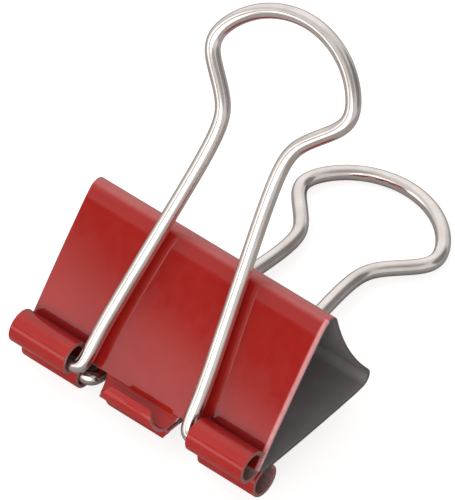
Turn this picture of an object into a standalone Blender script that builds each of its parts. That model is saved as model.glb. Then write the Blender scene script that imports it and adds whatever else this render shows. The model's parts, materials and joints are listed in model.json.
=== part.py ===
"""Binder clip lying on its rear side: one sprung sheet body and two wire handles.

Lengths are in metres, +Z is up and X runs along the spine.  The section is drawn
in a clip frame (y away from the middle plane, z from the lips up to the spine) and
then laid over so that the rear rolled barrels and the rear handle meet the table.
"""
import math

import bmesh
import bpy

MM = 0.001

# ---- driving dimensions, millimetres and degrees --------------------------------
BODY_WIDTH = 31.9          # along the spine
SHEET = 0.45               # spring-steel thickness
JAW_ANGLE = 26.3           # each jaw panel from the middle plane
LIP_GAP = 0.15             # middle plane to each closed lip
BARREL_R = 1.95            # outside radius of the rolled barrels
BARREL_IN = 8.35           # inner end of each barrel, from the middle
BARREL_ROLL = 313.0        # how far round the sheet is rolled
PANEL_LENGTH = 18.5        # barrel tangent to the sharp corner of the spine
BEND_R = 1.30              # outside radius of the two spine bends
SPINE_BOW = 0.70           # the spine dips this far between its bends
GAP_START, GAP_END = 60.0, 15.0    # part of each bend left open for the hinge
TAB_TOP, TAB_LIP, TAB_EDGE = 4.95, 4.25, 2.75   # half widths of the middle tab
TAB_R = 1.20               # outside radius of the hook on the middle tab
TAB_ROLL = 190.0
NOTCH_S = 0.1              # where barrels and tab part from the panel
CROWN = 0.03               # the middle of each jaw panel stands out this far
CROWN_X = 4.2              # half width of that flat middle
WIRE_R = 0.85              # handle wire radius
HANDLE_TILT = 26.0         # handles lying back over the spine corners
HANDLE_CTRL = [            # half of the wire line: across, along
    (13.6, 0.0), (11.6, 0.0), (9.6, 0.0), (8.1, 0.0), (7.42, 0.55), (7.25, 1.9),
    (6.95, 4.5), (6.32, 9.8), (5.13, 19.7), (3.95, 29.5), (5.03, 32.3),
    (7.69, 34.8), (10.0, 37.5), (6.93, 42.0), (2.37, 44.2)]

RED = (0.36, 0.022, 0.024, 1.0)
NICKEL = (0.72, 0.70, 0.68, 1.0)


def unit(deg):
    return (math.cos(math.radians(deg)), math.sin(math.radians(deg)))


# ---- section points that everything hangs from ----------------------------------
SIN_A, COS_A = unit(JAW_ANGLE)[1], unit(JAW_ANGLE)[0]
ALONG = (SIN_A, COS_A)             # lips to spine along a jaw panel
INWARD = (-COS_A, SIN_A)           # through the panel towards the middle
BARREL_C = (BARREL_R + LIP_GAP, 0.0)


def panel_point(s, depth):
    """Point of a jaw panel: s along it from the barrel tangent, depth from C."""
    return tuple(BARREL_C[i] + depth * INWARD[i] + s * ALONG[i] for i in (0, 1))


CORNER = panel_point(PANEL_LENGTH, BARREL_R - SHEET)
BACK_OFF = BEND_R * (1.0 + INWARD[1]) / ALONG[1]
BEND_C = tuple(CORNER[i] - BACK_OFF * ALONG[i] + BEND_R * INWARD[i] for i in (0, 1))
BEND_MID = BEND_R - SHEET / 2


def spline(ctrl, steps):
    """Uniform cubic B-spline through a control polygon, ends clamped."""
    pts = [ctrl[0]] * 2 + list(ctrl) + [ctrl[-1]] * 2
    out = []
    for i in range(len(pts) - 3):
        for k in range(steps):
            t = k / steps
            w = ((1 - t) ** 3, 3 * t ** 3 - 6 * t ** 2 + 4,
                 -3 * t ** 3 + 3 * t ** 2 + 3 * t + 1, t ** 3)
            out.append(tuple(sum(w[j] * pts[i + j][c] for j in range(4)) / 6
                             for c in (0, 1)))
    return out + [ctrl[-1]]


HALF = HANDLE_CTRL + [(-u, v) for u, v in reversed(HANDLE_CTRL)]
WIRE_LINE = spline(HALF, 4)
REACH = max(v for u, v in WIRE_LINE)

# ---- laying the clip on its rear side -------------------------------------------
LEAN = math.radians(HANDLE_TILT) - math.asin((BARREL_R - WIRE_R) / REACH)
Y_LOW = -BARREL_C[0] * math.sin(LEAN) - BARREL_R
Y_HIGH = (BARREL_C[0] * math.sin(LEAN) + WIRE_R
          + REACH * math.cos(math.radians(HANDLE_TILT) - LEAN))
Y_SHIFT = -(Y_LOW + Y_HIGH) / 2
Z_SHIFT = BARREL_C[0] * math.cos(LEAN) + BARREL_R


def clear_scene():
    for ob in list(bpy.data.objects):
        bpy.data.objects.remove(ob, do_unlink=True)
    parts = bpy.data.collections.new("binder_clip")
    bpy.context.scene.collection.children.link(parts)
    return parts


PARTS = clear_scene()


def material(name, colour, metallic, rough):
    mat = bpy.data.materials.new(name)
    mat.use_nodes = True
    bsdf = mat.node_tree.nodes["Principled BSDF"]
    bsdf.inputs["Base Color"].default_value = colour
    bsdf.inputs["Metallic"].default_value = metallic
    bsdf.inputs["Roughness"].default_value = rough
    return mat


def empty(name, parent, y, z, turn=0.0):
    """Frame or joint axis; its X axis is the hinge line."""
    ob = bpy.data.objects.new(name, None)
    ob.empty_display_size = 4 * MM
    ob.location = (0.0, y * MM, z * MM)
    ob.rotation_euler = (turn, 0.0, 0.0)
    ob.parent = parent
    PARTS.objects.link(ob)
    return ob


def strip(bm, profile, columns, widths=None):
    """Extrude a section profile across the columns, then taper its rows."""
    chain = [bm.verts.new((columns[0] * MM, y * MM, z * MM)) for y, z in profile]
    edges = [bm.edges.new(pair) for pair in zip(chain, chain[1:])]
    rows = [list(chain)]
    for x0, x1 in zip(columns, columns[1:]):
        new = bmesh.ops.extrude_edge_only(bm, edges=edges)["geom"]
        verts = [g for g in new if isinstance(g, bmesh.types.BMVert)]
        edges = [g for g in new if isinstance(g, bmesh.types.BMEdge)]
        bmesh.ops.translate(bm, verts=verts, vec=((x1 - x0) * MM, 0.0, 0.0))
        rows.append(verts)
    if widths:
        for verts in rows:
            ordered = sorted(verts, key=lambda v: profile_rank(v, profile))
            for v, w in zip(ordered, widths):
                v.co.x *= w


def profile_rank(v, profile):
    return min(range(len(profile)), key=lambda k: (v.co.y - profile[k][0] * MM) ** 2
               + (v.co.z - profile[k][1] * MM) ** 2)


def sheet_object(name, bm, parent, origin):
    """Weld the strips, move the origin to the hinge line, thicken the sheet."""
    bmesh.ops.remove_doubles(bm, verts=bm.verts, dist=1e-7)
    bmesh.ops.recalc_face_normals(bm, faces=bm.faces)
    bmesh.ops.translate(bm, verts=bm.verts,
                        vec=(0.0, -origin[0] * MM, -origin[1] * MM))
    mesh = bpy.data.meshes.new(name)
    bm.to_mesh(mesh)
    bm.free()
    mesh.shade_smooth()
    mesh.set_sharp_from_angle(angle=math.radians(35))
    mesh.materials.append(material(name + "_paint", RED, 0.0, 0.28))
    ob = bpy.data.objects.new(name, mesh)
    ob.parent = parent
    PARTS.objects.link(ob)
    solid = ob.modifiers.new("sheet", "SOLIDIFY")
    solid.thickness = SHEET * MM
    solid.offset = 0.0
    solid.use_even_offset = True
    return ob


def arc(centre, radius, start, end, count):
    out = []
    for k in range(count + 1):
        c, s = unit(start + (end - start) * k / count)
        out.append((centre[0] + radius * c, centre[1] + radius * s))
    return out


def build_spine(parent):
    half = BODY_WIDTH / 2
    top = BEND_C[1] + BEND_MID
    slope = math.degrees(math.atan(2 * SPINE_BOW / BEND_C[0]))
    bend = arc(BEND_C, BEND_MID, GAP_START, 90.0 + slope, 7)
    end_y, end_z = bend[-1]
    dip = SPINE_BOW - (top - end_z)
    right = bend + [(end_y * f, end_z - dip * (1 - f * f))
                    for f in (0.80, 0.60, 0.40, 0.20)]
    left = [(-y, z) for y, z in reversed(right)]
    bm = bmesh.new()
    strip(bm, right + left, [-half, half])
    return sheet_object("spring_spine", bm, parent, (0.0, 0.0))


def build_jaw(name, parent, side):
    half = BODY_WIDTH / 2
    mid = BARREL_R - SHEET / 2
    start = 180.0 - JAW_ANGLE
    panel = arc(BEND_C, BEND_MID, GAP_END, -JAW_ANGLE, 7)
    panel += [panel_point(s, mid) for s in (13.0, 9.0, 5.0, NOTCH_S)]
    roll = [panel[-1]] + arc(BARREL_C, mid, start, start + BARREL_ROLL, 32)
    # the middle tab turns upright, drops to the lip line, then hooks outwards
    hook_mid = TAB_R - SHEET / 2
    centre = (BARREL_C[0] - mid + hook_mid, TAB_R - BARREL_R)
    tab = [panel[-1]] + arc(BARREL_C, mid, start, 180.0, 2)
    tab += arc(centre, hook_mid, 180.0, 180.0 + TAB_ROLL, 15)
    knee = 6
    last = len(tab) - 1
    widths = [1.0 + (TAB_LIP / TAB_TOP - 1.0) * k / knee for k in range(knee)]
    widths += [(TAB_LIP + (TAB_EDGE - TAB_LIP) * (k - knee) / (last - knee)) / TAB_TOP
               for k in range(knee, last + 1)]
    bm = bmesh.new()
    inner = [-CROWN_X, CROWN_X]
    strip(bm, panel, [-half, -BARREL_IN, -TAB_TOP] + inner
          + [TAB_TOP, BARREL_IN, half])
    strip(bm, roll, [-half, -BARREL_IN])
    strip(bm, roll, [BARREL_IN, half])
    strip(bm, tab, [-TAB_TOP] + inner + [TAB_TOP], widths)
    raised = [v for v in bm.verts if abs(abs(v.co.x) - CROWN_X * MM) < 1e-6
              and 4.0 < (v.co.y * ALONG[0] + v.co.z * ALONG[1]) / MM < 15.0]
    bmesh.ops.translate(bm, verts=raised, vec=(0.0, -CROWN * INWARD[0] * MM,
                                               -CROWN * INWARD[1] * MM))
    if side < 0:
        bmesh.ops.scale(bm, vec=(1.0, -1.0, 1.0), verts=bm.verts)
    return sheet_object(name, bm, parent, (side * BEND_C[0], BEND_C[1]))


def build_handle(name, parent, side):
    curve = bpy.data.curves.new(name, "CURVE")
    curve.dimensions = "3D"
    curve.bevel_mode = "ROUND"
    curve.bevel_depth = WIRE_R * MM
    curve.bevel_resolution = 2
    curve.use_fill_caps = True
    line = curve.splines.new("POLY")
    line.points.add(len(WIRE_LINE) - 1)
    for p, (u, v) in zip(line.points, WIRE_LINE):
        p.co = (u * MM, 0.0, v * MM, 1.0)
    curve.materials.append(material(name + "_nickel", NICKEL, 1.0, 0.18))
    ob = bpy.data.objects.new(name, curve)
    ob.rotation_euler = (-side * math.radians(HANDLE_TILT), 0.0, 0.0)
    ob.parent = parent
    PARTS.objects.link(ob)
    return ob


clip = empty("clip_frame", None, Y_SHIFT, Z_SHIFT, LEAN - math.pi / 2)
build_spine(clip)
for label, sign in (("front", -1), ("rear", 1)):
    bend_axis = empty(label + "_bend_axis", clip, sign * BEND_C[0], BEND_C[1])
    build_jaw(label + "_jaw", bend_axis, sign)
    barrel_axis = empty(label + "_barrel_axis", bend_axis,
                        sign * (BARREL_C[0] - BEND_C[0]), BARREL_C[1] - BEND_C[1])
    build_handle(label + "_handle", barrel_axis, sign)
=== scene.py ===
import json
import math
import bmesh
import bpy
from mathutils import Matrix, Vector
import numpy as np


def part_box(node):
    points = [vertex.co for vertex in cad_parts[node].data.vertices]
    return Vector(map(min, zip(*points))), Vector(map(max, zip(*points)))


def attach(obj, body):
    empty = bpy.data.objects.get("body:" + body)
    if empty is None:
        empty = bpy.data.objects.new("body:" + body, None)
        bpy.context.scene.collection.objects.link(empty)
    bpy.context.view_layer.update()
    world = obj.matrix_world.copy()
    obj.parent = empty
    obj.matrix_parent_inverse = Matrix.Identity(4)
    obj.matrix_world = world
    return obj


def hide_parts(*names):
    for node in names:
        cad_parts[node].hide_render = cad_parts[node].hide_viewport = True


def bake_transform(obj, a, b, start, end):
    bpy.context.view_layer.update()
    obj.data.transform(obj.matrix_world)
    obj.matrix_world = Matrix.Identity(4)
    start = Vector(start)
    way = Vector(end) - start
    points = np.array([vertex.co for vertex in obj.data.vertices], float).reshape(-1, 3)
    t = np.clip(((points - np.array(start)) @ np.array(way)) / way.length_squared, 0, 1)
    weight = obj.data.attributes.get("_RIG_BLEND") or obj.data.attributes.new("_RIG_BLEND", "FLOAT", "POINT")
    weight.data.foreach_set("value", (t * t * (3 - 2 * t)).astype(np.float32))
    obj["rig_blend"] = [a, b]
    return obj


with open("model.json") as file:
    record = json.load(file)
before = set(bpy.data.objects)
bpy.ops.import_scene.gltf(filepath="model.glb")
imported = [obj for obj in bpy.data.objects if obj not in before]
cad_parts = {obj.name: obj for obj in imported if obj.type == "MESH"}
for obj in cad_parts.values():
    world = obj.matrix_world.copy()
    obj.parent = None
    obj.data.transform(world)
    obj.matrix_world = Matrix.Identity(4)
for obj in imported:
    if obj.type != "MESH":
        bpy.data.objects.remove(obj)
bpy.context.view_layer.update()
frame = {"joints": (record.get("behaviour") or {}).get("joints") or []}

MM = 0.001

# ---------------------------------------------------------------------------
# Camera: a long lens from the clip's front right, 46 degrees above the table,
# so the body shows almost no perspective.
# ---------------------------------------------------------------------------
CAMERA_AZIMUTH, CAMERA_HEIGHT, CAMERA_ROLL = 39.3, 46.2, 0.5    # degrees
CAMERA_DISTANCE = 900 * MM
CAMERA_AIM = Vector((-0.82, -6.32, 14.5)) * MM
VIEW_HEIGHT = 52.687 * MM       # what the lens takes in from top to bottom
SENSOR = 36


def direction(azimuth, height):
    """Unit vector; azimuth runs from the front, -Y, towards the right, +X."""
    a, e = math.radians(azimuth), math.radians(height)
    return Vector((math.sin(a) * math.cos(e), -math.cos(a) * math.cos(e), math.sin(e)))


lens = bpy.data.cameras.new("studio_camera")
lens.lens = SENSOR * CAMERA_DISTANCE / VIEW_HEIGHT
lens.sensor_width = SENSOR
lens.clip_start, lens.clip_end = 0.01, 20
camera = bpy.data.objects.new("studio_camera", lens)
bpy.context.scene.collection.objects.link(camera)
back = direction(CAMERA_AZIMUTH, CAMERA_HEIGHT)
camera.matrix_world = (Matrix.Translation(CAMERA_AIM + back * CAMERA_DISTANCE)
                       @ back.to_track_quat("Z", "Y").to_matrix().to_4x4()
                       @ Matrix.Rotation(math.radians(CAMERA_ROLL), 4, "Z"))
bpy.context.scene.camera = camera


# ---------------------------------------------------------------------------
# Table: a plain matt light board, glowing evenly so it runs out to white.
# ---------------------------------------------------------------------------
TABLE_REACH = 4.0               # metres from the middle to each edge


def linear(hex_colour):
    """sRGB hex to the linear colour that shaders take."""
    parts = [int(hex_colour[i:i + 2], 16) / 255 for i in (1, 3, 5)]
    return tuple(p / 12.92 if p <= 0.04045 else ((p + 0.055) / 1.055) ** 2.4
                 for p in parts) + (1.0,)


def plug(tree, node, sockets):
    """Gives each socket a value or a hex colour, or links it to a node."""
    for key, source in sockets.items():
        if isinstance(source, bpy.types.Node):
            source = next(out for out in source.outputs if out.enabled)
        if isinstance(source, bpy.types.NodeSocket):
            tree.links.new(source, node.inputs[key])
        else:
            node.inputs[key].default_value = (
                linear(source) if isinstance(source, str) else source)


def add(tree, kind, sockets, **settings):
    """A node with its settings, and its sockets set or linked."""
    node = tree.nodes.new(kind)
    for key, value in settings.items():
        setattr(node, key, value)
    plug(tree, node, sockets)
    return node


def new_finish(name):
    """An empty material: its tree, its Principled shader and its coordinates."""
    finish = bpy.data.materials.new(name)
    finish.use_nodes = True
    tree = finish.node_tree
    return finish, tree, tree.nodes["Principled BSDF"], add(tree, "ShaderNodeTexCoord", {})


# Matt emulsion on board: no gloss, and clouds a hand wide that only just show. The
# board is lit from below: it looks white, and yet throws little light at the clip.
board_paint, tree, shader, coords = new_finish("matt_light_board")
clouds = add(tree, "ShaderNodeTexNoise", {
    "Vector": coords.outputs["Object"], "Scale": 1 / (60 * MM), "Detail": 2.0})
# sockets 6 and 7 are a Mix node's two colours
tint = add(tree, "ShaderNodeMix", {0: clouds, 6: "#ACA9A7", 7: "#B2AFAD"},
           data_type="RGBA")
seen = add(tree, "ShaderNodeLightPath", {}).outputs["Is Camera Ray"]
glow = add(tree, "ShaderNodeMath", {0: seen, 1: 0.8}, operation="MULTIPLY")
plug(tree, shader, {"Base Color": tint, "Roughness": 0.95, "Specular IOR Level": 0.1,
                    "Emission Color": "#FFFFFF", "Emission Strength": glow})

mesh = bpy.data.meshes.new("table")
bm = bmesh.new()
bmesh.ops.create_grid(bm, x_segments=1, y_segments=1, size=TABLE_REACH)
bm.to_mesh(mesh)
bm.free()
mesh.materials.append(board_paint)
table = bpy.data.objects.new("table", mesh)
bpy.context.scene.collection.objects.link(table)

# ---------------------------------------------------------------------------
# Light: a white studio, with a broad soft light in front, a fainter one behind on
# the left and a dim side on the right. A narrow dark flag at the front left keeps
# the upper part of the front jaw free of reflections.
# ---------------------------------------------------------------------------
bpy.context.scene.view_settings.view_transform = "Standard"
WALL = (0.63, 0.62, 0.615, 1.0)
WARMTH = Vector((1.0, 0.985, 0.975))
SOFT_LIGHTS = (     # azimuth, height, inner and outer radius in degrees, brightness
    (-128, 38, 24, 46, 0.86), (132, 24, 24, 38, 0.2), (48, 66, 12, 28, 0.35),
    (-44, 17, 10, 19, 1.25), (12, 21, 22, 29, 1.9), (-27, 12, 6, 10, 1.6))
FLAG_AZIMUTH, FLAG_LOW, FLAG_HIGH = -28.0, 20.8, 27.5           # degrees
FLAG_LEAN = math.radians(32.7)      # its lower edge slopes by this much
FLAG_LEVEL = 0.06


def rising(azimuth, height):
    """The way in which height grows, seen in that direction."""
    a, e = math.radians(azimuth), math.radians(height)
    return Vector((-math.sin(a) * math.sin(e), math.cos(a) * math.sin(e), math.cos(e)))


def sky_edge(axis, clear, full):
    """0 to 1 as a sky direction's projection on the axis goes from clear to full."""
    along = add(tree, "ShaderNodeVectorMath", {0: coords.outputs["Generated"], 1: axis},
                operation="DOT_PRODUCT")
    return add(tree, "ShaderNodeMapRange", {
        "Value": along, "From Min": clear, "From Max": full},
        interpolation_type="SMOOTHSTEP")


studio = bpy.data.worlds.new("white_studio")
studio.use_nodes = True
bpy.context.scene.world = studio
tree = studio.node_tree
coords = add(tree, "ShaderNodeTexCoord", {})
patches = [(sky_edge(direction(azimuth, height), math.cos(math.radians(outer)),
                     math.cos(math.radians(inner))), bright)
           for azimuth, height, inner, outer, bright in SOFT_LIGHTS]
level_way = Vector((math.cos(math.radians(FLAG_AZIMUTH)),
                    math.sin(math.radians(FLAG_AZIMUTH)), 0))
foot = (math.sin(FLAG_LEAN) * level_way
        + math.cos(FLAG_LEAN) * rising(FLAG_AZIMUTH, FLAG_LOW))
flag = sky_edge(foot, -0.008, 0.010)
for axis, clear, full in (       # its top, left and right edges
        (-rising(FLAG_AZIMUTH, FLAG_HIGH), -0.014, 0.012),
        (level_way, -0.086, -0.070), (-level_way, -0.074, -0.058)):
    flag = add(tree, "ShaderNodeMath", {0: flag, 1: sky_edge(axis, clear, full)},
               operation="MULTIPLY")
colour = WALL
for patch, bright in patches + [(flag, FLAG_LEVEL)]:
    colour = add(tree, "ShaderNodeMix", {
        0: patch, 6: colour, 7: (*(bright * WARMTH), 1.0)}, data_type="RGBA")
plug(tree, tree.nodes["Background"], {"Color": colour, "Strength": 1.1})

key = bpy.data.lights.new("soft_key", "AREA")
key.shape, key.size, key.size_y = "RECTANGLE", 0.45, 0.45
key.energy = 2.0
lamp = bpy.data.objects.new("soft_key", key)
bpy.context.scene.collection.objects.link(lamp)
lamp.location = (-0.72, -0.04, 0.85)
lamp.rotation_euler = lamp.location.to_track_quat("Z", "Y").to_euler()
lamp.visible_glossy = False

# ---------------------------------------------------------------------------
# Where things are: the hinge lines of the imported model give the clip's own
# frame, y from the middle plane and z from the lips up to the spine.
# ---------------------------------------------------------------------------
hinge = {j["name"]: Vector(j["pos_m"]) for j in frame["joints"]}
lips = (hinge["front_handle_swing"] + hinge["rear_handle_swing"]) / 2
crown = (hinge["front_jaw_bend"] + hinge["rear_jaw_bend"]) / 2
UP_CLIP = (crown - lips).normalized()
REARWARD = (hinge["rear_handle_swing"] - hinge["front_handle_swing"]).normalized()
BARREL_C = ((hinge["rear_handle_swing"] - lips).length, 0.0)
BEND_C = ((hinge["rear_jaw_bend"] - crown).length, (crown - lips).length)


def clip_point(x, y, z):
    """Clip frame to world, all in metres."""
    return lips + Vector((x, 0, 0)) + y * REARWARD + z * UP_CLIP


# ---------------------------------------------------------------------------
# Body: one sheet of hardened spring steel 0.45 mm thick, blanked, rolled into
# two barrels and a hooked tab on each jaw, folded twice, enamelled red outside
# and dark inside. It is made as two halves that meet along the spine's middle.
# ---------------------------------------------------------------------------
SHEET = 0.45 * MM
HALF_WIDTH = 15.95 * MM
BARREL_R = hinge["rear_handle_swing"].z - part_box("rear_jaw")[0][2]
BARREL_IN = 8.35 * MM       # the barrels' inner ends, from the middle
BARREL_ROLL = 313.0
BEND_R = 1.30 * MM
SPINE_BOW = 0.70 * MM
TAB_TOP, TAB_LIP, TAB_EDGE = 4.95 * MM, 4.25 * MM, 2.75 * MM    # half widths
TAB_KNEE = 2.4 * MM         # from the tab's top to where its taper steepens
TAB_R, TAB_ROLL = 1.20 * MM, 190.0
EDGE_ROUND = 0.07 * MM
SHARPEST = math.radians(50)     # steeper edges are rounded and shaded sharp
REAR_SHORT = 0.3 * MM       # the rear jaw was cut this much shorter
BOW = 0.13 * MM             # the jaw's outward bow
EASE, EASE_TURN = 1.7 * MM, 8.0     # the jaw turns this much just under the bend
FOLD_NEAR, FOLD_FAR = 2.1 * MM, 3.2 * MM    # painted shade in the jaw's fold by the lip fades out between these
SPINE_STEPS, BEND_STEPS, PANEL_STEPS, ROLL_STEPS = 16, 40, 48, 88
BEND_ON_SPINE = 28          # steps of the bend finished as the spine is
BARE_STEPS = 6              # steps of each roll finished as the jaw is

reach = Vector((BEND_C[0] - BARREL_C[0], BEND_C[1] - BARREL_C[1]))
offset = BEND_R + BARREL_R - SHEET
JAW_ANGLE = math.degrees(math.atan2(reach.x, reach.y) + math.asin(offset / reach.length))
PANEL = math.sqrt(reach.length ** 2 - offset ** 2)
ALONG = (math.sin(math.radians(JAW_ANGLE)), math.cos(math.radians(JAW_ANGLE)))
INWARD = (-ALONG[1], ALONG[0])
BARREL_MID, BEND_MID = BARREL_R - SHEET / 2, BEND_R - SHEET / 2
HOOK_MID = TAB_R - SHEET / 2


def arc(centre, radius, start, end, count):
    """Points along an arc of the section, its angles in degrees."""
    turns = [math.radians(start + (end - start) * k / count) for k in range(count + 1)]
    return [(centre[0] + radius * math.cos(t), centre[1] + radius * math.sin(t))
            for t in turns]


def panel_point(s, short, proud=0.0):
    """A point of the jaw at s from the lip, standing this proud of its flat."""
    return tuple(BARREL_C[i] + (BARREL_MID - proud) * INWARD[i] + (s + short) * ALONG[i]
                 for i in (0, 1))


def panel_line(count, short):
    """The jaw from bend to lip: flat with a slight bow, easing into the bend."""
    turn = math.radians(EASE_TURN)
    top = PANEL - short + BEND_MID * math.sin(turn)
    sunk = BEND_MID * (1 - math.cos(turn))
    curl = (math.tan(turn) - (sunk + 4 * BOW) / top) / (2 * EASE - EASE ** 2 / top)
    ramp = (curl * EASE ** 2 - sunk) / top
    out = []
    for n in range(count - 1, 0, -1):
        f = 1 - (1 - n / count) ** 1.5      # closer steps towards the bend
        s = f * top
        out.append(panel_point(s, short, ramp * s + 4 * BOW * f * (1 - f)
                               - curl * max(0.0, s - top + EASE) ** 2))
    return out + [panel_point(0.1 * MM, short)]


def ease(value, low, high):
    """0 to 1 as the value goes from low to high."""
    f = min(1.0, max(0.0, (value - low) / (high - low)))
    return f * f * (3 - 2 * f)


def sheet_strip(bm, section, columns, slots, side, painted_light, widths=None):
    """Carries a section across the columns; one slot for each section step.

    Its function of (step, x) gives the light painted into the enamel: 1 painted shade in a fold, 0 none, -1
    painted highlight over a bend.
    """
    layer = bm.verts.layers.float["painted_light"]
    grid = []
    for k, (y, z) in enumerate(section):
        scale = widths[k] if widths else 1.0
        grid.append([bm.verts.new(clip_point(x * scale, side * y, z)) for x in columns])
        for x, vert in zip(columns, grid[-1]):
            vert[layer] = painted_light(k, x)
    for k, (low, high) in enumerate(zip(grid, grid[1:])):
        for i in range(len(columns) - 1):
            face = bm.faces.new((low[i], low[i + 1], high[i + 1], high[i]))
            face.material_index = slots[k]
            face.smooth = True


def finished(piece):
    """Makes the piece's modifiers real."""
    bpy.context.view_layer.update()
    done = bpy.data.meshes.new_from_object(
        piece.evaluated_get(bpy.context.evaluated_depsgraph_get()))
    piece.modifiers.clear()
    piece.data = done


def body_half(name, jaw, side, short):
    """Middle of the spine, bend, jaw panel, barrels and tab of one side."""
    slope = math.degrees(math.atan(2 * SPINE_BOW / BEND_C[0]))
    bend = arc(BEND_C, BEND_MID, 90.0 + slope, EASE_TURN - JAW_ANGLE, BEND_STEPS)
    end_y, end_z = bend[0]
    dip = SPINE_BOW - (BEND_C[1] + BEND_MID - end_z)
    # it starts a little past the middle of the spine, where it is cut flush below
    spine = [(end_y * f, end_z - dip * (1 - f ** 2)) for f in
             [-0.08, -0.006, 0.006] + [n / SPINE_STEPS for n in range(1, SPINE_STEPS)]]
    main = spine + bend + panel_line(PANEL_STEPS, short)
    lip, bent, panel = main[-1], len(spine), len(spine) + len(bend)

    # each slot number is the first of three finishes, for outside, inside and edge:
    # 0 jaw, 3 spine and rear jaw, 6 barrels, 9 hook
    bare = 3 if side > 0 else 0
    on_spine = bent + BEND_ON_SPINE
    bm = bmesh.new()
    bm.verts.layers.float.new("painted_light")
    # painted highlight: the sheet pales across the bend, where it catches the studio light
    bend_highlight = [ease(k, bent - 2, bent + 4) - ease(k, panel - 12, panel - 1)
              for k in range(len(main))]
    # painted shade: the jaw darkens in the crease beside the barrels, within a few millimetres of the lip
    fold = [1 - ease(math.dist(p, lip), FOLD_NEAR, FOLD_FAR) for p in main]
    half_row = [TAB_TOP, BARREL_IN - 0.5 * MM, BARREL_IN, HALF_WIDTH]
    sheet_strip(bm, main, [-x for x in reversed(half_row)] + [0.0] + half_row,
                [3] * on_spine + [bare] * (len(main) - on_spine), side,
                lambda k, x: (fold[k] if abs(x) >= BARREL_IN else 0.0) - bend_highlight[k])

    # the barrels: painted shade darkens them where they leave the jaw and where they meet it again
    start = 180.0 - JAW_ANGLE
    barrel = (BARREL_C[0] + short * ALONG[0], BARREL_C[1] + short * ALONG[1])
    roll = [lip] + arc(barrel, BARREL_MID, start, start + BARREL_ROLL, ROLL_STEPS)
    for ends in ([-HALF_WIDTH, -BARREL_IN], [BARREL_IN, HALF_WIDTH]):
        sheet_strip(bm, roll, ends, [bare] * BARE_STEPS + [6] * (len(roll) - BARE_STEPS),
                    side, lambda k, x: max(ease(k, 63, 75), 1 - ease(k, 1, 7)))

    # the tab: it narrows slowly to its knee and fast round the hook
    centre = (barrel[0] - BARREL_MID + HOOK_MID, barrel[1] + TAB_R - BARREL_R)
    tab = [lip] + arc(barrel, BARREL_MID, start, 180.0, 6)
    tab += arc(centre, HOOK_MID, 180.0, 180.0 + TAB_ROLL, 36)
    walk = [0.0]
    for a, b in zip(tab, tab[1:]):
        walk.append(walk[-1] + math.dist(a, b))
    half_widths = [
        TAB_TOP + (TAB_LIP - TAB_TOP) * w / TAB_KNEE if w < TAB_KNEE else
        TAB_LIP + (TAB_EDGE - TAB_LIP) * (w - TAB_KNEE) / (walk[-1] - TAB_KNEE)
        for w in walk]
    # painted shade: the tab darkens in its inner fold, where the hook turns
    sheet_strip(bm, tab, [-TAB_TOP, 0.0, TAB_TOP],
                [bare] * BARE_STEPS + [9] * (len(tab) - BARE_STEPS), side,
                lambda k, x: 0.4 * (ease(k, 0, 8) - ease(k, 16, 26)),
                [w / TAB_TOP for w in half_widths])

    bmesh.ops.remove_doubles(bm, verts=bm.verts, dist=1e-7)
    bmesh.ops.recalc_face_normals(bm, faces=bm.faces)
    beside_jaw = clip_point(0, side * BEND_C[0] * 2, BEND_C[1] / 2)
    nearest = min(bm.faces, key=lambda f: (f.calc_center_median() - beside_jaw).length)
    if nearest.normal.dot(side * REARWARD) < 0:
        bmesh.ops.reverse_faces(bm, faces=bm.faces)
    mesh = bpy.data.meshes.new(name)
    bm.to_mesh(mesh)
    bm.free()
    half = bpy.data.objects.new(name, mesh)
    bpy.context.scene.collection.objects.link(half)
    for finish in (red_enamel, dark_lacquer, cut_edge,
                   rolled_enamel, dark_lacquer, dark_edge,
                   roll_film, rolled_enamel, rolled_edge,
                   rolled_enamel, rolled_enamel, rolled_edge):
        mesh.materials.append(finish)
    thick = half.modifiers.new("sheet", "SOLIDIFY")
    thick.thickness, thick.offset, thick.use_even_offset = SHEET, 0.0, True
    thick.material_offset, thick.material_offset_rim = 1, 2
    rounded = half.modifiers.new("edges", "BEVEL")
    rounded.width, rounded.segments = EDGE_ROUND, 2
    rounded.limit_method, rounded.angle_limit = "ANGLE", SHARPEST
    finished(half)

    # the two halves meet without a seam, so this end is cut square and left sharp
    bm = bmesh.new()
    bm.from_mesh(half.data)
    cut = bmesh.ops.bisect_plane(bm, geom=bm.verts[:] + bm.edges[:] + bm.faces[:],
                                 plane_co=crown, plane_no=-side * REARWARD,
                                 clear_outer=True)
    bmesh.ops.contextual_create(bm, geom=[e for e in cut["geom_cut"]
                                          if isinstance(e, bmesh.types.BMEdge)])
    bm.to_mesh(half.data)
    bm.free()
    half.data.set_sharp_from_angle(angle=SHARPEST)
    half.modifiers.new("shading", "WEIGHTED_NORMAL").keep_sharp = True
    finished(half)
    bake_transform(half, "spring_spine", jaw, clip_point(0, side * bend[0][0], bend[0][1]),
             clip_point(0, side * bend[-1][0], bend[-1][1]))
    return half


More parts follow.
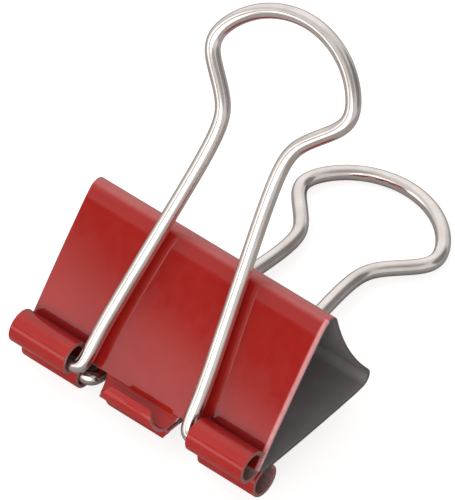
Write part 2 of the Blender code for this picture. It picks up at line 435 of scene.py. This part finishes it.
def enamel(name, darker, lighter, painted_edge_highlight):
    """Sprayed enamel; with the edge switch on it pales over the last half millimetre of the right-hand edge,
    a painted highlight.
    """
    finish, tree, shader, coords = new_finish(name)
    where = coords.outputs["Object"]
    clouds = add(tree, "ShaderNodeTexNoise", {
        "Vector": where, "Scale": 1 / (6 * MM), "Detail": 3.0})
    share = add(tree, "ShaderNodeMapRange", {
        "Value": clouds, "From Min": 0.3, "From Max": 0.7})
    red = add(tree, "ShaderNodeMix", {0: share, 6: darker, 7: lighter}, data_type="RGBA")

    # dust that dried in, drawn coarser than it is, 0.35 mm, so that it shows
    dust = add(tree, "ShaderNodeTexNoise", {
        "Vector": where, "Scale": 1 / (0.35 * MM), "Detail": 1.0})
    specks = add(tree, "ShaderNodeMapRange", {
        "Value": dust, "From Min": 0.77, "From Max": 0.82})
    red = add(tree, "ShaderNodeMix", {0: specks, 6: red, 7: "#B23A35"}, data_type="RGBA")

    # the sheet's painted-light attribute darkens the folds with painted shade and pales the bends with a
    # painted highlight, in blotches
    painted_light = add(tree, "ShaderNodeAttribute", {}, attribute_name="painted_light").outputs["Fac"]
    blotch = add(tree, "ShaderNodeTexNoise", {
        "Vector": where, "Scale": 1 / (2 * MM), "Detail": 3.0})
    for full, top, least, most, shade in ((1, 0.5, 0.45, 0.62, "#7A191C"),
                                          (-1, 0.7, 0.75, 1.0, "#C26462")):
        there = add(tree, "ShaderNodeMapRange", {
            "Value": painted_light, "From Min": 0, "From Max": full})
        uneven = add(tree, "ShaderNodeMapRange", {
            "Value": blotch, "From Min": 0.25, "From Max": top,
            "To Min": least, "To Max": most})
        share = add(tree, "ShaderNodeMath", {0: there, 1: uneven}, operation="MULTIPLY")
        red = add(tree, "ShaderNodeMix", {0: share, 6: red, 7: shade}, data_type="RGBA")

    # painted highlight: the right-hand edge pales to pink over its last half millimetre, in ragged patches
    if painted_edge_highlight:
        split = add(tree, "ShaderNodeSeparateXYZ", {0: where})
        there = add(tree, "ShaderNodeMapRange", {
            "Value": split, "From Min": 15.45 * MM, "From Max": 15.65 * MM})
        ragged = add(tree, "ShaderNodeTexNoise", {
            "Vector": where, "Scale": 1 / (0.8 * MM), "Detail": 4.0})
        uneven = add(tree, "ShaderNodeMapRange", {
            "Value": ragged, "From Min": 0.2, "From Max": 0.5,
            "To Min": 0.6, "To Max": 1.0})
        share = add(tree, "ShaderNodeMath", {0: there, 1: uneven}, operation="MULTIPLY")
        red = add(tree, "ShaderNodeMix", {0: share, 6: red, 7: "#E89C9C"},
                  data_type="RGBA")

    # handling dulls it in patches a millimetre wide
    drawn = add(tree, "ShaderNodeMapping", {"Vector": where, "Scale": (1, 1, 1 / 4)})
    handled = add(tree, "ShaderNodeTexNoise", {
        "Vector": drawn, "Scale": 1 / (1.2 * MM), "Detail": 5.0})
    dull = add(tree, "ShaderNodeMapRange", {
        "Value": handled, "From Min": 0.3, "From Max": 0.75,
        "To Min": 0.07, "To Max": 0.13})

    # half-millimetre orange peel, and hairline scratches drawn 0.09 mm wide to show
    peel = add(tree, "ShaderNodeTexNoise", {
        "Vector": where, "Scale": 1 / (0.55 * MM), "Detail": 1.0})
    drawn = add(tree, "ShaderNodeMapping", {"Vector": where, "Scale": (1, 1 / 30, 1 / 30)})
    hairs = add(tree, "ShaderNodeTexNoise", {
        "Vector": drawn, "Scale": 1 / (0.09 * MM), "Detail": 2.0})
    scratches = add(tree, "ShaderNodeMapRange", {
        "Value": hairs, "From Min": 0.70, "From Max": 0.76, "To Min": 0.0, "To Max": -0.6})
    relief = add(tree, "ShaderNodeMath", {0: peel, 1: scratches}, operation="ADD")
    bump = add(tree, "ShaderNodeBump", {
        "Strength": 0.08, "Distance": 0.01 * MM, "Height": relief})
    plug(tree, shader, {"Base Color": red, "Roughness": dull, "IOR": 1.5, "Normal": bump})
    return finish


# Red stoving enamel, sprayed on in a single layer: glossy, with a faint orange peel of
# half-millimetre waves and a few dust specks. Painted shade darkens it in the folds of the
# lips, and a painted highlight pales it over the bends. On the front jaw a painted highlight
# pales it along the right-hand edge; the rolls, the spine and the rear jaw take a lighter
# copy of the same red, painted brighter for the light on the rolls.
red_enamel = enamel("red_stoving_enamel", "#A61F19", "#AE231D", True)
# a lighter copy of the same red, painted brighter for the light on the rolls
rolled_enamel = enamel("red_stoving_enamel_on_rolls", "#B32622", "#BC2B27", False)

# Dark air-dried lacquer inside the sheet: satin and almost black, with the rolled
# strip's faint lines across the clip and a little bloom where it dried thin.
dark_lacquer, tree, shader, coords = new_finish("dark_satin_lacquer")
where = coords.outputs["Object"]
drawn = add(tree, "ShaderNodeMapping", {"Vector": where, "Scale": (1 / 40, 1, 1)})
strip_lines = add(tree, "ShaderNodeTexNoise", {
    "Vector": drawn, "Scale": 1 / (0.15 * MM), "Detail": 3.0})
bloom = add(tree, "ShaderNodeTexNoise", {
    "Vector": where, "Scale": 1 / (2.5 * MM), "Detail": 4.0})
share = add(tree, "ShaderNodeMapRange", {
    "Value": bloom, "From Min": 0.35, "From Max": 0.7})
dark = add(tree, "ShaderNodeMix", {0: share, 6: "#8C8688", 7: "#989293"},
           data_type="RGBA")
share = add(tree, "ShaderNodeMapRange", {
    "Value": strip_lines, "From Min": 0.5, "From Max": 0.8})
dark = add(tree, "ShaderNodeMix", {0: share, 6: dark, 7: "#948C8B"}, data_type="RGBA")
satin = add(tree, "ShaderNodeMapRange", {
    "Value": bloom, "From Min": 0.3, "From Max": 0.7, "To Min": 0.36, "To Max": 0.52})
bump = add(tree, "ShaderNodeBump", {
    "Strength": 0.2, "Distance": 0.01 * MM, "Height": strip_lines})
plug(tree, shader, {"Base Color": dark, "Roughness": satin, "IOR": 1.48, "Normal": bump})

# Inside the rolls the dark lacquer is browned with red and left nearly matt, mottled in
# droplets under half a millimetre.
roll_film, tree, shader, coords = new_finish("mottled_reddish_brown_on_dark_lacquer")
mist = add(tree, "ShaderNodeTexNoise", {
    "Vector": coords.outputs["Object"], "Scale": 1 / (0.4 * MM), "Detail": 4.0})
share = add(tree, "ShaderNodeMapRange", {
    "Value": mist, "From Min": 0.35, "From Max": 0.65})
brown = add(tree, "ShaderNodeMix", {0: share, 6: "#86696A", 7: "#A27A76"},
            data_type="RGBA")
matt = add(tree, "ShaderNodeMapRange", {
    "Value": mist, "From Min": 0.3, "From Max": 0.7, "To Min": 0.4, "To Max": 0.6})
bump = add(tree, "ShaderNodeBump", {
    "Strength": 0.2, "Distance": 0.01 * MM, "Height": mist})
plug(tree, shader, {"Base Color": brown, "Roughness": matt, "Normal": bump})


def edge_finish(name, first, second, worn):
    """Film of paint on a sheared edge: shear lines cross the sheet, steel shows."""
    finish, tree, shader, coords = new_finish(name)
    where = coords.outputs["Object"]
    drawn = add(tree, "ShaderNodeMapping", {"Vector": where, "Scale": (1 / 8, 1, 1)})
    shear = add(tree, "ShaderNodeTexNoise", {
        "Vector": drawn, "Scale": 1 / (0.12 * MM), "Detail": 3.0})
    knocks = add(tree, "ShaderNodeTexNoise", {
        "Vector": where, "Scale": 1 / (0.9 * MM), "Detail": 3.0})
    share = add(tree, "ShaderNodeMapRange", {
        "Value": shear, "From Min": 0.3, "From Max": 0.7})
    paint = add(tree, "ShaderNodeMix", {0: share, 6: first, 7: second}, data_type="RGBA")
    share = add(tree, "ShaderNodeMapRange", {
        "Value": knocks, "From Min": 0.55, "From Max": 0.72})
    paint = add(tree, "ShaderNodeMix", {0: share, 6: paint, 7: worn}, data_type="RGBA")
    satin = add(tree, "ShaderNodeMapRange", {
        "Value": knocks, "From Min": 0.3, "From Max": 0.7, "To Min": 0.3, "To Max": 0.5})
    bump = add(tree, "ShaderNodeBump", {
        "Strength": 0.3, "Distance": 0.02 * MM, "Height": shear})
    plug(tree, shader, {"Base Color": paint, "Roughness": satin, "Normal": bump})
    return finish


# The blanked edges. Enamel draws back from the front jaw's edge and leaves a pink film,
# painted pale as a highlight; the spine's and rear jaw's edges were caught by the dark
# lacquer, and the rolls' edges by both.
cut_edge = edge_finish("thin_enamel_and_painted_highlight_on_cut_edge", "#F0AEAD", "#FBC2C0", "#F8CFCC")
dark_edge = edge_finish("lacquer_on_cut_edge", "#5E5758", "#6E6867", "#7E7673")
rolled_edge = edge_finish("enamel_and_lacquer_on_rolled_edge",
                          "#A5605E", "#B98280", "#86605F")

front_half = body_half("body_front_half", "front_jaw", -1, 0.0)
rear_half = body_half("body_rear_half", "rear_jaw", 1, REAR_SHORT)
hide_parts("spring_spine", "front_jaw")
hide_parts("rear_jaw")

# ---------------------------------------------------------------------------
# Handles: two lengths of hard nickel-plated wire, 1.7 mm thick, bent to a neck
# and a wide loop; the ends turn outwards and spring into the barrels.
# ---------------------------------------------------------------------------
WIRE_R = 0.845 * MM
WIRE_SIDES = 40
CUT_END = 0.72              # the cut ends are chamfered to this share of the wire
HANDLE_TILT = math.radians(26.0)
HANDLE_CTRL = [             # half of the wire's line in mm, from elbow to loop
    (7.05, 1.5), (6.95, 4.5), (6.32, 9.8), (5.13, 19.7), (3.95, 29.5), (5.03, 32.3),
    (7.69, 34.8), (10.0, 37.5), (6.93, 42.0), (2.37, 44.2)]
FRONT_SAG, REAR_SAG = 0.62, 0.3     # mm the legs lie off the middle of the barrels


def spline(ctrl, steps):
    """Uniform cubic B-spline through a control polygon, ends clamped."""
    pts = [ctrl[0]] * 2 + list(ctrl) + [ctrl[-1]] * 2
    out = []
    for i in range(len(pts) - 3):
        for k in range(steps):
            t = k / steps
            w = ((1 - t) ** 3, 3 * t ** 3 - 6 * t ** 2 + 4,
                 -3 * t ** 3 + 3 * t ** 2 + 3 * t + 1, t ** 3)
            out.append(tuple(sum(w[j] * pts[i + j][c] for j in range(4)) / 6
                             for c in (0, 1)))
    return out + [ctrl[-1]]


def bent_wire(name, body, swing, side, sag):
    """Sweeps a circle along the flat wire line, from one cut end to the other."""
    leg = [(x, -sag) for x in (13.6, 11.6, 9.6, 8.2)] + [(7.25, 0.17 - sag)]
    half = leg + HANDLE_CTRL
    line = spline(half + [(-u, v) for u, v in reversed(half)], 16)
    line = [p for p, q in zip(line, line[1:] + [(9e9, 0)]) if math.dist(p, q) > 0.02]
    rise = side * math.sin(HANDLE_TILT) * REARWARD + math.cos(HANDLE_TILT) * UP_CLIP
    across = Vector((1, 0, 0))
    normal = across.cross(rise)
    points = [hinge[swing] + (across * u + rise * v) * MM for u, v in line]
    last = len(points) - 1
    bm = bmesh.new()
    uv = bm.loops.layers.uv.new("along_wire")
    rings, walk = [], []
    far = 0.0
    for k, p in enumerate(points):
        ahead = (points[min(k + 1, last)] - points[max(k - 1, 0)]).normalized()
        out = ahead.cross(normal)
        far += (p - points[k - 1]).length if k else 0.0
        walk.append(far)
        radius = WIRE_R * (CUT_END if k in (0, last) else 1.0)
        turns = [2 * math.pi * j / WIRE_SIDES for j in range(WIRE_SIDES)]
        rings.append([bm.verts.new(p + radius * (math.cos(t) * out + math.sin(t) * normal))
                      for t in turns])
    for k in range(last):
        for j in range(WIRE_SIDES):
            n = (j + 1) % WIRE_SIDES
            face = bm.faces.new((rings[k][j], rings[k][n],
                                 rings[k + 1][n], rings[k + 1][j]))
            face.smooth = True
            corners = ((k, j), (k, j + 1), (k + 1, j + 1), (k + 1, j))
            for loop, (step, turn) in zip(face.loops, corners):
                loop[uv].uv = (walk[step] * 100, turn / WIRE_SIDES)
    bm.faces.new(rings[0])
    bm.faces.new(list(reversed(rings[-1])))
    bmesh.ops.recalc_face_normals(bm, faces=bm.faces)
    mesh = bpy.data.meshes.new(name)
    bm.to_mesh(mesh)
    bm.free()
    mesh.set_sharp_from_angle(angle=SHARPEST)
    mesh.materials.append(nickel_wire)
    wire = bpy.data.objects.new(name, mesh)
    bpy.context.scene.collection.objects.link(wire)
    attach(wire, body)
    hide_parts(body)


# Bright nickel plate over drawn steel: mirror-like and slightly warm, with faint
# drawing lines along the wire, fine pits and a duller bloom here and there.
nickel_wire, tree, shader, coords = new_finish("nickel_plated_drawn_wire")
where = coords.outputs["Object"]
# 60 drawing lines round the wire, some 0.09 mm apart, and 3 mm long
unrolled = add(tree, "ShaderNodeMapping", {
    "Vector": coords.outputs["UV"], "Scale": (3.0, 60.0, 1.0)})
drawn = add(tree, "ShaderNodeTexNoise", {"Vector": unrolled, "Scale": 1.0, "Detail": 3.0})
bloom = add(tree, "ShaderNodeTexNoise", {
    "Vector": where, "Scale": 1 / (3 * MM), "Detail": 4.0})
# pits are drawn coarser than they are, 0.12 mm, so that they show
pitting = add(tree, "ShaderNodeTexNoise", {
    "Vector": where, "Scale": 1 / (0.12 * MM), "Detail": 1.0})
share = add(tree, "ShaderNodeMapRange", {
    "Value": bloom, "From Min": 0.35, "From Max": 0.7})
nickel = add(tree, "ShaderNodeMix", {0: share, 6: "#F3EDE9", 7: "#E2D9D4"},
             data_type="RGBA")
share = add(tree, "ShaderNodeMapRange", {
    "Value": pitting, "From Min": 0.72, "From Max": 0.80})
nickel = add(tree, "ShaderNodeMix", {0: share, 6: nickel, 7: "#A79D97"},
             data_type="RGBA")
haze = add(tree, "ShaderNodeMapRange", {
    "Value": bloom, "From Min": 0.3, "From Max": 0.7, "To Min": 0.09, "To Max": 0.17})
streaks = add(tree, "ShaderNodeMapRange", {
    "Value": drawn, "From Min": 0.4, "From Max": 0.7, "To Min": 0.0, "To Max": 0.07})
rough = add(tree, "ShaderNodeMath", {0: haze, 1: streaks}, operation="ADD")
bump = add(tree, "ShaderNodeBump", {
    "Strength": 0.12, "Distance": 0.01 * MM, "Height": drawn})
plug(tree, shader, {"Base Color": nickel, "Metallic": 1.0, "Roughness": rough,
                    "Normal": bump})

bent_wire("front_wire", "front_handle", "front_handle_swing", -1, FRONT_SAG)
bent_wire("rear_wire", "rear_handle", "rear_handle_swing", 1, REAR_SAG)
